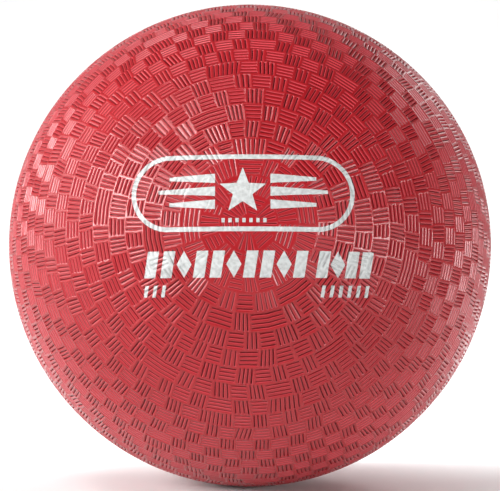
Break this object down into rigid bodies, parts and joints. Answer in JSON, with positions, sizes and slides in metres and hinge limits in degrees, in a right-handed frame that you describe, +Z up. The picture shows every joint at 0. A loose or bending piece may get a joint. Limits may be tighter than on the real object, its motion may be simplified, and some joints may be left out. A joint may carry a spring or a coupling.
{
  "type": "playground rubber ball",
  "caption": "Air-filled rubber playground ball: a basket-weave moulded cover over a rubber ply, a nylon winding and a bladder, with an inflation valve at the back.",
  "frame": {"origin": "centre of the ball", "axes": "+Z up, +Y out of the valve at the back, so the printed side faces -Y and +X is to its right seen from the front"},
  "size_m": [0.1782, 0.1778, 0.1782],
  "materials": {
    "cover_rubber": "semi-gloss moulded red rubber",
    "ply_rubber": "matt tan rubber sheet",
    "nylon_thread": "off-white wound nylon thread",
    "butyl_rubber": "matt black butyl rubber",
    "patch_fabric": "black rubberised fabric",
    "valve_rubber": "satin black rubber",
    "plug_rubber": "soft dark grey rubber"
  },
  "bodies": {
    "root": {"cover": "cover_rubber", "inner_ply": "ply_rubber", "nylon_winding": "nylon_thread", "bladder": "butyl_rubber", "valve_patch": "patch_fabric", "valve_housing": "valve_rubber", "valve_plug": "plug_rubber"}
  },
  "joints": []
}
